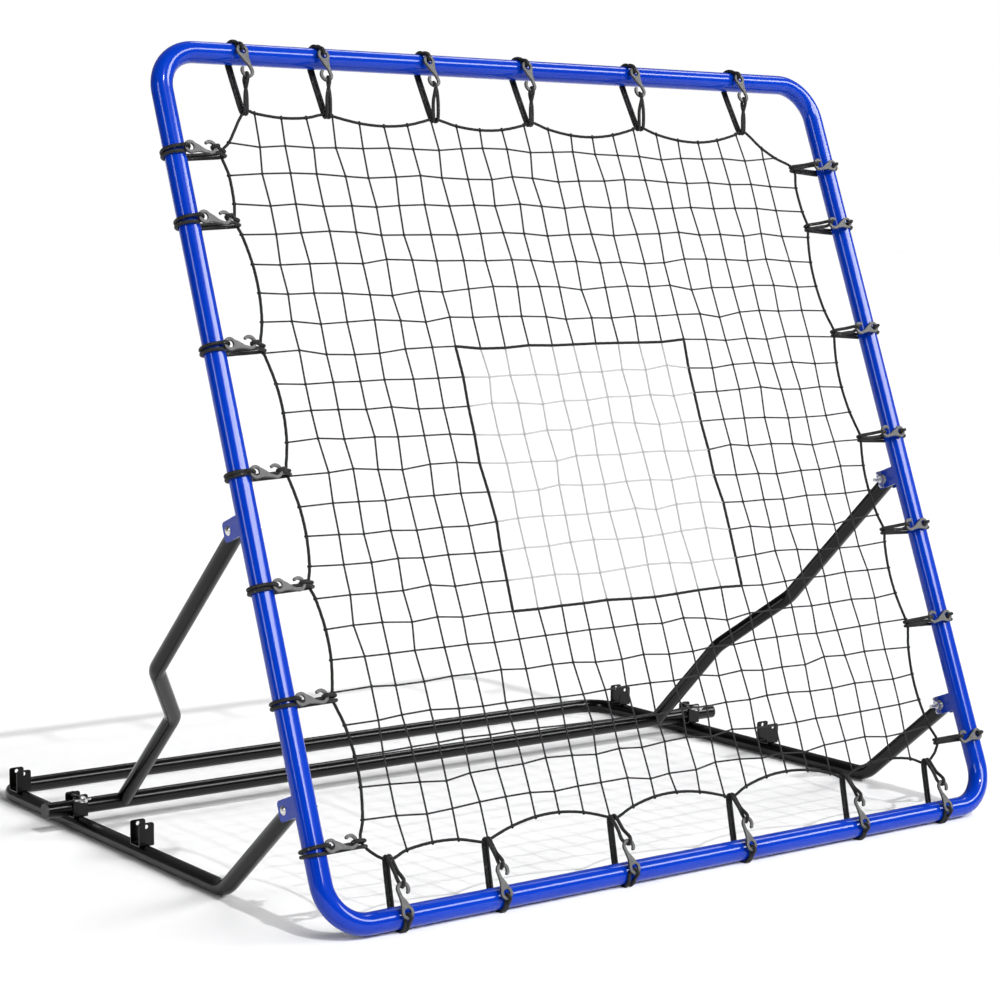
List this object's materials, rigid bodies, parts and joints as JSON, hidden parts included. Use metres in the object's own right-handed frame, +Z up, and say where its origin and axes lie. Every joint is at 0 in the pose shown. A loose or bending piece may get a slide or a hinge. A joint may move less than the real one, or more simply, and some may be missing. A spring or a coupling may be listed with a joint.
{
  "type": "pitch back rebounder",
  "caption": "Folding ball rebounder: blue square tube frame with an elastically tied net and target square, leaning on a black tube support and base.",
  "frame": {"origin": "on the floor, under the centre of the outline", "axes": "+X to the right of someone facing the net, +Y away from them towards the rear bar, +Z up"},
  "size_m": [1.392, 1.0602, 1.2252],
  "materials": {
    "blue_paint": "gloss",
    "black_paint": "gloss",
    "zinc_steel": "bright zinc",
    "black_plastic": "matte",
    "elastic_cord": "braided",
    "grey_plastic": "satin",
    "border_rope": "twisted",
    "net_cord": "twisted",
    "target_cord": "twisted"
  },
  "bodies": {
    "base": {"base_rear_bar": "black_paint", "base_left_rail": "black_paint", "base_right_rail": "black_paint", "seat_front_left": "black_paint", "seat_front_right": "black_paint", "seat_middle_left": "black_paint", "seat_middle_right": "black_paint", "seat_rear_left": "black_paint", "seat_rear_right": "black_paint", "retaining_bolts": "zinc_steel"},
    "front_frame": {"frame_top_tube": "blue_paint", "frame_bottom_tube": "blue_paint", "frame_left_tube": "blue_paint", "frame_right_tube": "blue_paint", "corner_top_left": "blue_paint", "corner_top_right": "blue_paint", "corner_bottom_left": "blue_paint", "corner_bottom_right": "blue_paint", "pivot_bracket_upper_left": "blue_paint", "pivot_bracket_upper_right": "blue_paint", "pivot_bracket_lower_left": "blue_paint", "pivot_bracket_lower_right": "blue_paint", "pivot_bolts_upper": "zinc_steel", "pivot_bolts_lower": "zinc_steel", "pivot_washers_upper": "zinc_steel", "pivot_washers_lower": "zinc_steel", "ties_top": "elastic_cord", "ties_bottom": "elastic_cord", "ties_left": "elastic_cord", "ties_right": "elastic_cord", "hooks_top": "grey_plastic", "hooks_bottom": "grey_plastic", "hooks_left": "grey_plastic", "hooks_right": "grey_plastic", "net_border_rope": "border_rope", "target_border": "border_rope", "net_cords_upright": "net_cord", "net_cords_level": "net_cord", "target_cords_upright": "target_cord", "target_cords_level": "target_cord"},
    "support_frame": {"crossbar_left": "black_paint", "crossbar_right": "black_paint", "crossbar_cap_left": "black_plastic", "crossbar_cap_right": "black_plastic", "arm_stub_left": "black_paint", "arm_stub_right": "black_paint", "arm_left": "black_paint", "arm_right": "black_paint"},
    "wing_nut_upper_left": {"wing_nut_upper_left": "zinc_steel"},
    "wing_nut_upper_right": {"wing_nut_upper_right": "zinc_steel"},
    "wing_nut_lower_left": {"wing_nut_lower_left": "zinc_steel"},
    "wing_nut_lower_right": {"wing_nut_lower_right": "zinc_steel"},
    "retaining_nut_left": {"retaining_nut_left": "zinc_steel"},
    "retaining_nut_right": {"retaining_nut_right": "zinc_steel"}
  },
  "joints": [
    {"name": "frame_tilt", "type": "hinge", "parent": "base", "child": "front_frame", "pos_m": [0, -0.41533, 0.16714], "axis": [-1, 0, 0], "range_deg": [0, 68.4]},
    {"name": "support_swing", "type": "hinge", "parent": "front_frame", "child": "support_frame", "pos_m": [0, -0.27029, 0.53347], "axis": [1, 0, 0], "range_deg": [0, 109.5]},
    {"name": "wing_nut_upper_left_turn", "type": "hinge", "parent": "front_frame", "child": "wing_nut_upper_left", "pos_m": [-0.6225, -0.27029, 0.53347], "axis": [1, 0, 0], "continuous": true},
    {"name": "wing_nut_upper_right_turn", "type": "hinge", "parent": "front_frame", "child": "wing_nut_upper_right", "pos_m": [0.6225, -0.27029, 0.53347], "axis": [-1, 0, 0], "continuous": true},
    {"name": "wing_nut_lower_left_turn", "type": "hinge", "parent": "front_frame", "child": "wing_nut_lower_left", "pos_m": [-0.6225, -0.41533, 0.16714], "axis": [1, 0, 0], "continuous": true},
    {"name": "wing_nut_lower_right_turn", "type": "hinge", "parent": "front_frame", "child": "wing_nut_lower_right", "pos_m": [0.6225, -0.41533, 0.16714], "axis": [-1, 0, 0], "continuous": true},
    {"name": "retaining_nut_left_turn", "type": "hinge", "parent": "base", "child": "retaining_nut_left", "pos_m": [-0.64, 0.22255, 0.054], "axis": [0, -1, 0], "continuous": true},
    {"name": "retaining_nut_right_turn", "type": "hinge", "parent": "base", "child": "retaining_nut_right", "pos_m": [0.64, 0.22255, 0.054], "axis": [0, -1, 0], "continuous": true}
  ],
  "couplings": [
    {"joint": "support_swing", "follows": "frame_tilt", "ratio": 1.6}
  ]
}
